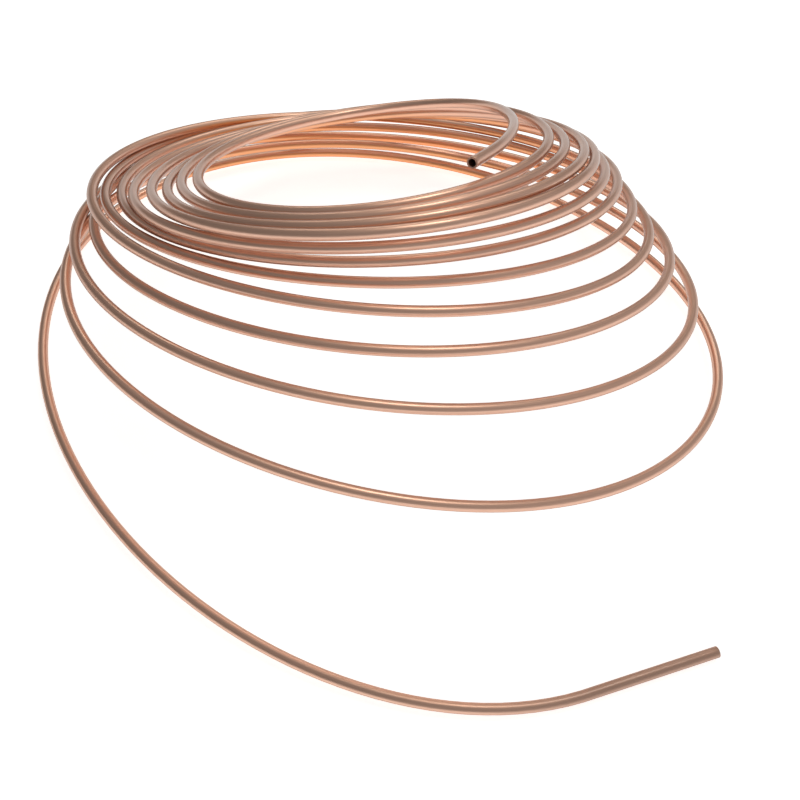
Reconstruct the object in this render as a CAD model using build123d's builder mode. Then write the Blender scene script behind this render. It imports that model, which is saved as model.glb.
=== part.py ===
"""A loose coil of thin, rigid copper tube lying on a level floor.

The tube is one piece: twelve open turns that fan out and down from a small
upper turn to a wide outer one, with a free end standing up inside the coil
and a straight tail lying on the floor in front.
+Z is up, the front of the coil faces -Y, and the origin is on the floor at
the middle of the coil's box.
"""
import os
from math import cos, pi, radians, sin, tan

from build123d import *

os.makedirs("parts", exist_ok=True)

# The tube: three-sixteenths of an inch outside, a standard wall
tube_diameter = 4.7625
tube_wall = 0.762
tube_bore = tube_diameter - 2 * tube_wall

# The coil: the least air between two turns, and the half-width of the first turn
turn_gap = 0.2375
turn_pitch = tube_diameter + turn_gap
eye_radius = 80.0

# The two ends are straight; between them the turns are counted from the front
free_end_length = 15.2
tail_length = 52.6
first_turn_share = 0.125
last_turn_share = 12.0625
arcs_per_turn = 16

# Each turn is an oval, and lies tilted. One row holds a turn's number, then in
# turn pitches: half-width beyond the eye, half-depth beyond the eye, how far
# the middle sits to the right, forward and up, and how far the front and the
# right side rise above that middle. The rows are a least-squares fit rounded to
# a twentieth of a pitch, and some values from turn 9.5 on were moved by hand.
turn_shares = [
    (0, -8.0, -0.45, 4.7, -0.95, 19.9, 7.05, 0.1),
    (0.5, -3.45, -1.25, 1.2, -0.4, 18.45, 7.65, 1.4),
    (1, 0.35, -0.25, -0.5, -0.05, 17.2, 6.8, 1.95),
    (2, 1.05, 1.0, 0.3, 0.25, 16.9, 7.85, 1.8),
    (3, 2.8, 1.95, 0.4, 0.5, 16.5, 8.55, 1.8),
    (4, 4.0, 3.2, 0.25, 0.45, 16.4, 8.85, 1.55),
    (5, 5.65, 3.3, -0.15, -0.2, 14.75, 8.55, 1.05),
    (6, 7.4, 4.65, -0.15, -2.55, 12.6, 8.25, 0.5),
    (7, 9.05, 5.15, -0.15, -2.2, 11.45, 8.0, -0.75),
    (8, 9.9, 5.6, 0.3, 0.0, 11.8, 7.35, -2.05),
    (9, 10.85, 7.15, 1.4, 1.35, 9.75, 7.9, -1.5),
    (9.5, 11.4, 8.75, 1.8, 1.65, 9.1, 8.45, -2.25),
    (10, 13.1, 9.2, 1.3, 3.3, 9.1, 6.7, -3.25),
    (10.5, 13.3, 8.1, 2.6, 5.5, 8.1, 5.15, -4.65),
    (11, 14.6, 7.8, 2.55, 10.05, 6.1, 4.85, -4.4),
    (11.5, 18.65, 13.15, -1.0, 8.95, 2.75, 2.15, -0.75),
    (12, 16.2, 24.75, 5.75, 5.15, -0.85, 1.45, 1.35),
    (12.5, 7.4, 43.5, 10.0, 8.8, -4.15, -1.75, 6.35),
]


def turn_at(turn):
    """The oval at any part of a turn, eased between the rows on both sides."""
    count = len(turn_shares)
    low = max(i for i in range(count - 1) if turn_shares[i][0] <= turn)
    before, start, end, after = (
        turn_shares[min(max(low + step, 0), count - 1)] for step in (-1, 0, 1, 2)
    )
    span = end[0] - start[0]
    s = (turn - start[0]) / span
    oval = []
    for column in range(1, 8):
        leave = span * (end[column] - before[column]) / (end[0] - before[0])
        arrive = span * (after[column] - start[column]) / (after[0] - start[0])
        oval.append(
            start[column] * (2 * s**3 - 3 * s**2 + 1)
            + end[column] * (3 * s**2 - 2 * s**3)
            + leave * (s**3 - 2 * s**2 + s)
            + arrive * (s**3 - s**2)
        )
    return [turn_pitch * share for share in oval]


def corner_at(turn):
    """A corner of the guide around the tube's middle line, just outside it, so
    that the arcs between the corners touch the oval. Whole turns are in front."""
    wide, deep, right, forward, up, front_rise, right_rise = turn_at(turn)
    angle = 2 * pi * turn
    outside = 1 / cos(pi / arcs_per_turn)
    half_width = eye_radius + wide
    half_depth = eye_radius + deep
    lean = front_rise * right_rise / half_width
    return Vector(
        right + outside * (half_width * sin(angle) - lean * cos(angle)),
        -forward - outside * half_depth * cos(angle),
        up + outside * (front_rise * cos(angle) + right_rise * sin(angle)),
    )


# The middle line: arcs that meet on the sides between the corners, each side
# touching both of its arcs, with a straight run along the first and last side
arc_count = round((last_turn_share - first_turn_share) * arcs_per_turn)
corners = [corner_at(first_turn_share + (i - 0.5) / arcs_per_turn) for i in range(arc_count + 2)]
sides = [end - start for start, end in zip(corners, corners[1:])]
reach = (sides[0].length + sides[1].length) / 4
joints = [corners[1] - sides[0].normalized() * reach]
radii = []
for corner, side_in, side_out in zip(corners[1:], sides, sides[1:]):
    joints.append(corner + side_out.normalized() * reach)
    radii.append(reach / tan(radians(side_in.get_angle(side_out)) / 2))
    reach = side_out.length - reach
free_end = joints[0] - sides[0].normalized() * free_end_length
tail_end = joints[-1] + sides[-1].normalized() * tail_length

with BuildLine() as route:
    Line(free_end, joints[0])
    for start, end, side in zip(joints, joints[1:], sides):
        TangentArc(start, end, tangent=side)
    Line(joints[-1], tail_end)
middle_line = route.wire()


def swept(diameter):
    """A round bar of one diameter along the tube's middle line."""
    with BuildPart() as bar:
        with BuildSketch(Plane(origin=middle_line @ 0, z_dir=middle_line % 0)):
            Circle(diameter / 2)
        sweep(path=middle_line)
    return bar


# The copper tube: the outside skin and the bore's skin, closed by a flat ring
# at each end
outside = swept(tube_diameter)
bore = swept(tube_bore)
skin = [face for face in outside.faces() + bore.faces() if face.geom_type != GeomType.PLANE]
for end_place in (middle_line @ 0, middle_line @ 1):
    outer_cap, inner_cap = (
        bar.faces().filter_by(GeomType.PLANE).sort_by_distance(end_place)[0] for bar in (outside, bore)
    )
    skin.append(Face(outer_cap.outer_wire(), [inner_cap.outer_wire()]))
tube_solid = Solid(Shell(skin))
box = tube_solid.bounding_box()
floor_middle = Vector(box.center().X, box.center().Y, box.min.Z)

with BuildPart() as copper_tube:
    with Locations(-floor_middle):
        add(tube_solid)

copper_tube.part.label = "copper_tube"
export_step(copper_tube.part, "parts/copper_tube.step")

# What was made: the section times the length should give the volume
section = pi * (tube_diameter**2 - tube_bore**2) / 4
print(f"tube length {middle_line.length:.1f} mm in {arc_count} arcs")
print(f"radii {min(radii):.1f} to {max(radii):.1f} mm")
print(f"volume {copper_tube.part.volume:.1f} mm3")
print(f"section times length {section * middle_line.length:.1f} mm3")
for name, place, heading in (
    ("free end", free_end, -sides[0].normalized()),
    ("tail end", tail_end, sides[-1].normalized()),
):
    spot = place - floor_middle
    print(
        f"{name} at {spot.X:.3f} {spot.Y:.3f} {spot.Z:.3f},"
        f" pointing {heading.X:.5f} {heading.Y:.5f} {heading.Z:.5f}"
    )
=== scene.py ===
from math import cos, pi, radians, sin

import bpy
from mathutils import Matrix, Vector


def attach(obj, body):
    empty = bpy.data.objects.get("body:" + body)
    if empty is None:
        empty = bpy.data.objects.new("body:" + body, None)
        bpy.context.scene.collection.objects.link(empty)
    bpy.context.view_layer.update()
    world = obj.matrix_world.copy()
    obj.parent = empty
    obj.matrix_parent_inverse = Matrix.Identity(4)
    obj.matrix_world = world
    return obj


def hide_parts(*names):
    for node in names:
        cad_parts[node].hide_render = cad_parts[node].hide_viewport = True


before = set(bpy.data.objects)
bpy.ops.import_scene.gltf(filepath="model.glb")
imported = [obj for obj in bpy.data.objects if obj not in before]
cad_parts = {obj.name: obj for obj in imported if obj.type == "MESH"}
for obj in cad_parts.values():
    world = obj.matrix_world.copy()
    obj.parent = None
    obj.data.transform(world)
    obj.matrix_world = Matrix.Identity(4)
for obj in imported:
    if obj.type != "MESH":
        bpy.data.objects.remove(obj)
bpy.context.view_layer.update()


# The camera: held above and in front of the coil, looking steeply down into it,
# close enough that the front turns look clearly thicker than the back.
camera_place = (0.0132, -0.3409, 0.405)
camera_pitch = radians(51.62)
picture_side = 800
focal_pixels = 1086.4

bpy.ops.object.camera_add(location=camera_place, rotation=(pi / 2 - camera_pitch, 0, 0))
camera = bpy.context.object
camera.name = "camera"
camera.data.sensor_width = 36
camera.data.lens = camera.data.sensor_width * focal_pixels / picture_side
camera.data.clip_start = 0.01
camera.data.dof.use_dof = False
bpy.context.scene.camera = camera
bpy.context.scene.view_settings.view_transform = "Standard"


# The paper: a wide sheet of plain white paper that the coil lies on. It is lit
# only to white, and keeps the soft shadow that the coil throws on it.
paper_width = 6.0
paper_white = 0.9
paper_glow = 0.72
paper_roughness = 0.9
paper_shine = 0.1

bpy.ops.object.select_all(action="DESELECT")
bpy.ops.mesh.primitive_grid_add(x_subdivisions=2, y_subdivisions=2, size=paper_width)
paper = bpy.context.object
paper.name = "paper"

paper_material = bpy.data.materials.new("white_paper")
paper_material.use_nodes = True
nodes = paper_material.node_tree.nodes
links = paper_material.node_tree.links
paper_shader = nodes["Principled BSDF"]
paper_shader.inputs["Base Color"].default_value = (paper_white, paper_white, paper_white, 1)
paper_shader.inputs["Roughness"].default_value = paper_roughness
paper_shader.inputs["Specular IOR Level"].default_value = paper_shine
rays = nodes.new("ShaderNodeLightPath")
seen = nodes.new("ShaderNodeMath")
seen.operation = "MAXIMUM"
links.new(rays.outputs["Is Camera Ray"], seen.inputs[0])
links.new(rays.outputs["Is Glossy Ray"], seen.inputs[1])
seen_through = nodes.new("ShaderNodeMath")
seen_through.operation = "MAXIMUM"
links.new(seen.outputs[0], seen_through.inputs[0])
links.new(rays.outputs["Is Transmission Ray"], seen_through.inputs[1])
glow = nodes.new("ShaderNodeMath")
glow.operation = "MULTIPLY"
glow.inputs[1].default_value = paper_glow
links.new(seen_through.outputs[0], glow.inputs[0])
links.new(glow.outputs[0], paper_shader.inputs["Emission Strength"])
paper_shader.inputs["Emission Color"].default_value = (1, 1, 1, 1)
paper.data.materials.append(paper_material)


# The studio light: a soft box overhead, to the right and back of the coil, and a
# lower one behind it, in a grey room that is open to daylight on the right and
# dark on the left.
lamp_colour = (1.0, 0.94, 0.84)
daylight_way = (1.0, -0.12, 0.3)
room_dark_side = 0.16
room_day_side = 0.4


def soft_box(name, place, aim, width, depth, power):
    """A rectangular lamp at a place, facing a point."""
    heading = (Vector(aim) - Vector(place)).to_track_quat("-Z", "Y").to_euler()
    bpy.ops.object.light_add(type="AREA", location=place, rotation=heading)
    lamp = bpy.context.object
    lamp.name = name
    lamp.data.shape = "RECTANGLE"
    lamp.data.size = width
    lamp.data.size_y = depth
    lamp.data.energy = power
    lamp.data.color = lamp_colour


soft_box("overhead_box", place=(0.3, 0.18, 1.02), aim=(0, -0.1, 0), width=0.36, depth=0.28, power=1.6)
soft_box("back_box", place=(0.04, 0.9, 0.65), aim=(-0.05, -0.05, 0), width=0.9, depth=0.3, power=1.3)

world = bpy.data.worlds.new("grey_room")
bpy.context.scene.world = world
world.use_nodes = True
nodes = world.node_tree.nodes
links = world.node_tree.links
ways = nodes.new("ShaderNodeTexCoord")
toward_day = nodes.new("ShaderNodeVectorMath")
toward_day.operation = "DOT_PRODUCT"
toward_day.inputs[1].default_value = daylight_way
links.new(ways.outputs["Generated"], toward_day.inputs[0])
daylight = nodes.new("ShaderNodeMapRange")
daylight.inputs["From Min"].default_value = -1.0
daylight.inputs["From Max"].default_value = 1.0
daylight.inputs["To Min"].default_value = room_dark_side
daylight.inputs["To Max"].default_value = room_day_side
links.new(toward_day.outputs["Value"], daylight.inputs["Value"])
room = nodes["Background"]
room.inputs["Strength"].default_value = 1.0
links.new(daylight.outputs["Result"], room.inputs["Color"])


# The copper tube: hard copper, drawn to three-sixteenths of an inch and wound by
# hand into twelve loose turns. Its ends are cut square, and the bore runs through.
tube_radius = 0.00238125
tube_wall = 0.000762
turn_pitch = 0.005
eye_radius = 0.08
free_end_length = 0.0152
tail_length = 0.0526
first_turn = 0.125
last_turn = 12.0625
dull_shaded_tail_length = 0.12
rings_per_turn = 156
sides_around = 24
burr_width = 0.0001
burr_angle = radians(60)
smooth_angle = radians(35)

# Each row: the turn, then in pitches its half-width and half-depth beyond the
# eye, its middle to the right, forward and up, and its front's and right's rise.
# The rows are a least-squares fit rounded to a twentieth of a pitch, and some
# values from turn 9.5 on were moved.
turn_shares = [
    (0, -8.0, -0.45, 4.7, -0.95, 19.9, 7.05, 0.1),
    (0.5, -3.45, -1.25, 1.2, -0.4, 18.45, 7.65, 1.4),
    (1, 0.35, -0.25, -0.5, -0.05, 17.2, 6.8, 1.95),
    (2, 1.05, 1.0, 0.3, 0.25, 16.9, 7.85, 1.8),
    (3, 2.8, 1.95, 0.4, 0.5, 16.5, 8.55, 1.8),
    (4, 4.0, 3.2, 0.25, 0.45, 16.4, 8.85, 1.55),
    (5, 5.65, 3.3, -0.15, -0.2, 14.75, 8.55, 1.05),
    (6, 7.4, 4.65, -0.15, -2.55, 12.6, 8.25, 0.5),
    (7, 9.05, 5.15, -0.15, -2.2, 11.45, 8.0, -0.75),
    (8, 9.9, 5.6, 0.3, 0.0, 11.8, 7.35, -2.05),
    (9, 10.85, 7.15, 1.4, 1.35, 9.75, 7.9, -1.5),
    (9.5, 11.4, 8.75, 1.8, 1.65, 9.1, 8.45, -2.25),
    (10, 13.1, 9.2, 1.3, 3.3, 9.1, 6.7, -3.25),
    (10.5, 13.3, 8.1, 2.6, 5.5, 8.1, 5.15, -4.65),
    (11, 14.6, 7.8, 2.55, 10.05, 6.1, 4.85, -4.4),
    (11.5, 18.65, 13.15, -1.0, 8.95, 2.75, 2.15, -0.75),
    (12, 16.2, 24.75, 5.75, 5.15, -0.85, 1.45, 1.35),
    (12.5, 7.4, 43.5, 10.0, 8.8, -4.15, -1.75, 6.35),
]


def oval_at(turn):
    """The oval at any part of a turn, eased between the rows on both sides."""
    count = len(turn_shares)
    low = max(i for i in range(count - 1) if turn_shares[i][0] <= turn)
    before, start, end, after = (
        turn_shares[min(max(low + step, 0), count - 1)] for step in (-1, 0, 1, 2)
    )
    span = end[0] - start[0]
    s = (turn - start[0]) / span
    oval = []
    for column in range(1, 8):
        leave = span * (end[column] - before[column]) / (end[0] - before[0])
        arrive = span * (after[column] - start[column]) / (after[0] - start[0])
        oval.append(
            start[column] * (2 * s**3 - 3 * s**2 + 1)
            + end[column] * (3 * s**2 - 2 * s**3)
            + leave * (s**3 - 2 * s**2 + s)
            + arrive * (s**3 - s**2)
        )
    return [turn_pitch * share for share in oval]


def middle_at(turn):
    """A point on the tube's middle line. Whole turns are in front."""
    wide, deep, right, forward, up, front_rise, right_rise = oval_at(turn)
    angle = 2 * pi * turn
    half_width = eye_radius + wide
    lean = front_rise * right_rise / half_width
    return Vector(
        (
            right + half_width * sin(angle) - lean * cos(angle),
            -forward - (eye_radius + deep) * cos(angle),
            up + front_rise * cos(angle) + right_rise * sin(angle),
        )
    )


ring_count = round((last_turn - first_turn) * rings_per_turn)
middle_line = [
    middle_at(first_turn + (last_turn - first_turn) * i / ring_count)
    for i in range(ring_count + 1)
]
ring_gap = (middle_line[1] - middle_line[0]).length
free_way = (middle_line[0] - middle_line[1]).normalized()
tail_way = (middle_line[-1] - middle_line[-2]).normalized()
free_steps = round(free_end_length / ring_gap)
tail_steps = round(tail_length / ring_gap)
free_run = [
    middle_line[0] + free_way * free_end_length * i / free_steps
    for i in range(free_steps, 0, -1)
]
tail_run = [
    middle_line[-1] + tail_way * tail_length * i / tail_steps
    for i in range(1, tail_steps + 1)
]
middle_line = free_run + middle_line + tail_run

floor_middle = Vector(
    [(min(p[k] for p in middle_line) + max(p[k] for p in middle_line)) / 2 for k in range(2)]
    + [min(p.z for p in middle_line) - tube_radius]
)
middle_line = [p - floor_middle for p in middle_line]

bpy.ops.object.select_all(action="DESELECT")
bpy.ops.curve.primitive_nurbs_path_add()
copper_tube = bpy.context.object
copper_tube.name = "drawn_copper_tube"
copper_tube.data.splines.clear()
run = copper_tube.data.splines.new("POLY")
run.points.add(len(middle_line) - 1)
for point, place in zip(run.points, middle_line):
    point.co = (*place, 1)
copper_tube.data.dimensions = "3D"
copper_tube.data.twist_mode = "MINIMUM"
copper_tube.data.bevel_depth = tube_radius
copper_tube.data.bevel_resolution = (sides_around - 4) // 2
copper_tube.data.use_fill_caps = False
bpy.ops.object.convert(target="MESH")
copper_tube = bpy.context.object

# The straightened tube: where each point was before the tube was wound, so that
# marks that the drawing left run along it
distance = 0.0
mesh = copper_tube.data
straight = mesh.attributes.new("straight_tube", "FLOAT_VECTOR", "POINT")
for ring, place in enumerate(middle_line):
    if ring:
        distance += (place - middle_line[ring - 1]).length
    for side in range(sides_around):
        angle = 2 * pi * side / sides_around
        straight.data[ring * sides_around + side].vector = (
            tube_radius * cos(angle),
            tube_radius * sin(angle),
            distance,
        )

bpy.ops.object.mode_set(mode="EDIT")
bpy.ops.mesh.select_all(action="SELECT")
bpy.ops.mesh.normals_make_consistent(inside=False)
bpy.ops.object.mode_set(mode="OBJECT")
wall = copper_tube.modifiers.new("wall", "SOLIDIFY")
wall.thickness = tube_wall
wall.offset = -1
wall.use_even_offset = True
wall.use_rim = True
wall.material_offset = 1
wall.material_offset_rim = 2
bpy.ops.object.modifier_apply(modifier="wall")
burr = copper_tube.modifiers.new("burr", "BEVEL")
burr.width = burr_width
burr.segments = 2
burr.limit_method = "ANGLE"
burr.angle_limit = burr_angle
bpy.ops.object.modifier_apply(modifier="burr")
bpy.ops.object.shade_smooth_by_angle(angle=smooth_angle)


def group_of(name, inputs, outputs):
    """A shader node group with named inputs and outputs."""
    group = bpy.data.node_groups.new(name, "ShaderNodeTree")
    for label, kind, value in inputs:
        socket = group.interface.new_socket(label, in_out="INPUT", socket_type=kind)
        if value is not None:
            socket.default_value = value
    for label, kind in outputs:
        group.interface.new_socket(label, in_out="OUTPUT", socket_type=kind)
    return group, group.nodes.new("NodeGroupInput"), group.nodes.new("NodeGroupOutput")


def smooth_step(group, value, start, end):
    """A mask that eases from 0 where the value is at the start to 1 at the end."""
    step = group.nodes.new("ShaderNodeMapRange")
    step.interpolation_type = "SMOOTHSTEP"
    step.inputs["From Min"].default_value = start
    step.inputs["From Max"].default_value = end
    group.links.new(value, step.inputs["Value"])
    return step.outputs["Result"]


# Drawn lines: fine lines that the die leaves, long along the tube and very
# narrow around it; and the tail's end, made rougher and darkened with painted shade
drawn, give, take = group_of(
    "drawn_lines",
    [("Across", "NodeSocketFloat", 3000.0), ("Along", "NodeSocketFloat", 12.0)],
    [("Lines", "NodeSocketFloat"), ("Cloud", "NodeSocketFloat"), ("Dull shaded tail", "NodeSocketFloat")],
)
place = drawn.nodes.new("ShaderNodeAttribute")
place.attribute_name = "straight_tube"
parts = drawn.nodes.new("ShaderNodeSeparateXYZ")
drawn.links.new(place.outputs["Vector"], parts.inputs[0])
stretched = drawn.nodes.new("ShaderNodeCombineXYZ")
for label, scale in (("X", "Across"), ("Y", "Across"), ("Z", "Along")):
    times = drawn.nodes.new("ShaderNodeMath")
    times.operation = "MULTIPLY"
    drawn.links.new(parts.outputs[label], times.inputs[0])
    drawn.links.new(give.outputs[scale], times.inputs[1])
    drawn.links.new(times.outputs[0], stretched.inputs[label])
lines = drawn.nodes.new("ShaderNodeTexNoise")
lines.inputs["Scale"].default_value = 1.0
lines.inputs["Detail"].default_value = 3.0
lines.inputs["Roughness"].default_value = 0.6
drawn.links.new(stretched.outputs[0], lines.inputs["Vector"])
drawn.links.new(lines.outputs["Fac"], take.inputs["Lines"])
cloud = drawn.nodes.new("ShaderNodeTexNoise")
cloud.inputs["Scale"].default_value = 60.0
cloud.inputs["Detail"].default_value = 4.0
drawn.links.new(place.outputs["Vector"], cloud.inputs["Vector"])
drawn.links.new(cloud.outputs["Fac"], take.inputs["Cloud"])
dull_shaded_from = distance - dull_shaded_tail_length
dull_shaded_fully = distance - dull_shaded_tail_length / 3
dull_shaded_tail = smooth_step(drawn, parts.outputs["Z"], dull_shaded_from, dull_shaded_fully)
drawn.links.new(dull_shaded_tail, take.inputs["Dull shaded tail"])

# Painted reflection: how far a low spot faces the coil's eye from behind it; there a
# redder tint is painted in, standing in for light bounced between the turns. Each pair
# is where a mask starts and where it is full.
eye_middle = (-0.006, 0.048, 0.0)
reflection_facing = (-0.2, 0.7)
reflection_behind = (-0.25, -0.85)
reflection_height = (0.055, 0.035)
reflection_slope = (0.9, 0.5)
reflection_group, give, take = group_of(
    "painted_reflection_side",
    [("Eye", "NodeSocketVector", eye_middle)],
    [("Painted reflection", "NodeSocketFloat")],
)
where = reflection_group.nodes.new("ShaderNodeTexCoord")
to_eye = reflection_group.nodes.new("ShaderNodeVectorMath")
to_eye.operation = "SUBTRACT"
reflection_group.links.new(give.outputs["Eye"], to_eye.inputs[0])
reflection_group.links.new(where.outputs["Object"], to_eye.inputs[1])
level = reflection_group.nodes.new("ShaderNodeVectorMath")
level.operation = "MULTIPLY"
level.inputs[1].default_value = (1, 1, 0)
reflection_group.links.new(to_eye.outputs["Vector"], level.inputs[0])
inward = reflection_group.nodes.new("ShaderNodeVectorMath")
inward.operation = "NORMALIZE"
reflection_group.links.new(level.outputs["Vector"], inward.inputs[0])
facing = reflection_group.nodes.new("ShaderNodeVectorMath")
facing.operation = "DOT_PRODUCT"
surface = reflection_group.nodes.new("ShaderNodeNewGeometry")
reflection_group.links.new(inward.outputs["Vector"], facing.inputs[0])
reflection_group.links.new(surface.outputs["Normal"], facing.inputs[1])
faces_eye = smooth_step(reflection_group, facing.outputs["Value"], *reflection_facing)
parts = reflection_group.nodes.new("ShaderNodeSeparateXYZ")
reflection_group.links.new(inward.outputs["Vector"], parts.inputs[0])
behind = smooth_step(reflection_group, parts.outputs["Y"], *reflection_behind)
heights = reflection_group.nodes.new("ShaderNodeSeparateXYZ")
reflection_group.links.new(where.outputs["Object"], heights.inputs[0])
low_down = smooth_step(reflection_group, heights.outputs["Z"], *reflection_height)
slopes = reflection_group.nodes.new("ShaderNodeSeparateXYZ")
reflection_group.links.new(surface.outputs["Normal"], slopes.inputs[0])
under_side = smooth_step(reflection_group, slopes.outputs["Z"], *reflection_slope)
mask = faces_eye
for share in (behind, low_down, under_side):
    product = reflection_group.nodes.new("ShaderNodeMath")
    product.operation = "MULTIPLY"
    reflection_group.links.new(mask, product.inputs[0])
    reflection_group.links.new(share, product.inputs[1])
    mask = product.outputs[0]
reflection_group.links.new(mask, take.inputs["Painted reflection"])

copper_bright = (0.9, 0.565, 0.42, 1)
copper_dull = (0.77, 0.465, 0.34, 1)
# Redder copper for the eye-facing low spots: a painted reflection of light bounced between the turns
copper_painted_reflection = (0.9, 0.41, 0.18, 1)
# Darker copper at the tail's end: painted shade, where the tail mirrors no lamp
copper_tail_shade = (0.6, 0.38, 0.285, 1)
copper_roughness = (0.34, 0.42)
tail_end_roughness = 0.2
line_depth = 0.00005
drawn_copper = bpy.data.materials.new("drawn_copper")
drawn_copper.use_nodes = True
nodes = drawn_copper.node_tree.nodes
links = drawn_copper.node_tree.links
shader = nodes["Principled BSDF"]
shader.inputs["Metallic"].default_value = 1.0
# A dark grey edge tint: painted shade that darkens the tube's grazing edges, standing in for the dark
# surroundings they mirror
shader.inputs["Specular Tint"].default_value = (0.15, 0.15, 0.15, 1)
shader.inputs["Coat Weight"].default_value = 0.7
shader.inputs["Coat Roughness"].default_value = 0.15
marks = nodes.new("ShaderNodeGroup")
marks.node_tree = drawn
tone = nodes.new("ShaderNodeValToRGB")
tone.color_ramp.elements[0].position = 0.35
tone.color_ramp.elements[0].color = copper_dull
tone.color_ramp.elements[1].position = 0.65
tone.color_ramp.elements[1].color = copper_bright
links.new(marks.outputs["Lines"], tone.inputs["Fac"])
side = nodes.new("ShaderNodeGroup")
side.node_tree = reflection_group
# Mixes in the painted reflection: a redder tint where the turns bounce light onto each other
reflection_tint = nodes.new("ShaderNodeMix")
reflection_tint.data_type = "RGBA"
reflection_tint.inputs["B"].default_value = copper_painted_reflection
links.new(side.outputs["Painted reflection"], reflection_tint.inputs["Factor"])
links.new(tone.outputs["Color"], reflection_tint.inputs["A"])
# Mixes the painted shade into the tail's end
tail_shade = nodes.new("ShaderNodeMix")
tail_shade.data_type = "RGBA"
tail_shade.inputs["B"].default_value = copper_tail_shade
links.new(marks.outputs["Dull shaded tail"], tail_shade.inputs["Factor"])
links.new(reflection_tint.outputs["Result"], tail_shade.inputs["A"])
links.new(tail_shade.outputs["Result"], shader.inputs["Base Color"])
dull = nodes.new("ShaderNodeMapRange")
dull.inputs["From Min"].default_value = 0.3
dull.inputs["From Max"].default_value = 0.7
dull.inputs["To Min"].default_value = copper_roughness[0]
dull.inputs["To Max"].default_value = copper_roughness[1]
links.new(marks.outputs["Cloud"], dull.inputs["Value"])
rougher = nodes.new("ShaderNodeMath")
rougher.operation = "MULTIPLY_ADD"
rougher.inputs[1].default_value = tail_end_roughness
links.new(marks.outputs["Dull shaded tail"], rougher.inputs[0])
links.new(dull.outputs["Result"], rougher.inputs[2])
links.new(rougher.outputs[0], shader.inputs["Roughness"])
bump = nodes.new("ShaderNodeBump")
bump.inputs["Strength"].default_value = 0.12
bump.inputs["Distance"].default_value = line_depth
links.new(marks.outputs["Lines"], bump.inputs["Height"])
links.new(bump.outputs["Normal"], shader.inputs["Normal"])

# Inside, the bore is dull and painted a near-black brown, a painted shade for the dark hollow; the
# cut rings are bare and finely scored
shaded_bore_copper = bpy.data.materials.new("shaded_bore_copper")
shaded_bore_copper.use_nodes = True
nodes = shaded_bore_copper.node_tree.nodes
links = shaded_bore_copper.node_tree.links
shader = nodes["Principled BSDF"]
shader.inputs["Metallic"].default_value = 0.6
shader.inputs["Roughness"].default_value = 0.6
marks = nodes.new("ShaderNodeGroup")
marks.node_tree = drawn
tone = nodes.new("ShaderNodeValToRGB")
tone.color_ramp.elements[0].color = (0.03, 0.018, 0.014, 1)
tone.color_ramp.elements[1].color = (0.09, 0.05, 0.035, 1)
links.new(marks.outputs["Cloud"], tone.inputs["Fac"])
links.new(tone.outputs["Color"], shader.inputs["Base Color"])

cut_copper = bpy.data.materials.new("cut_copper")
cut_copper.use_nodes = True
nodes = cut_copper.node_tree.nodes
links = cut_copper.node_tree.links
shader = nodes["Principled BSDF"]
shader.inputs["Metallic"].default_value = 1.0
where = nodes.new("ShaderNodeTexCoord")
scoring = nodes.new("ShaderNodeTexNoise")
scoring.inputs["Scale"].default_value = 1500.0
links.new(where.outputs["Object"], scoring.inputs["Vector"])
tone = nodes.new("ShaderNodeValToRGB")
tone.color_ramp.elements[0].color = (0.45, 0.32, 0.26, 1)
tone.color_ramp.elements[1].color = (0.75, 0.58, 0.48, 1)
links.new(scoring.outputs["Fac"], tone.inputs["Fac"])
links.new(tone.outputs["Color"], shader.inputs["Base Color"])
shader.inputs["Roughness"].default_value = 0.4

for finish in (drawn_copper, shaded_bore_copper, cut_copper):
    copper_tube.data.materials.append(finish)

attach(copper_tube, "root")
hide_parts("copper_tube")
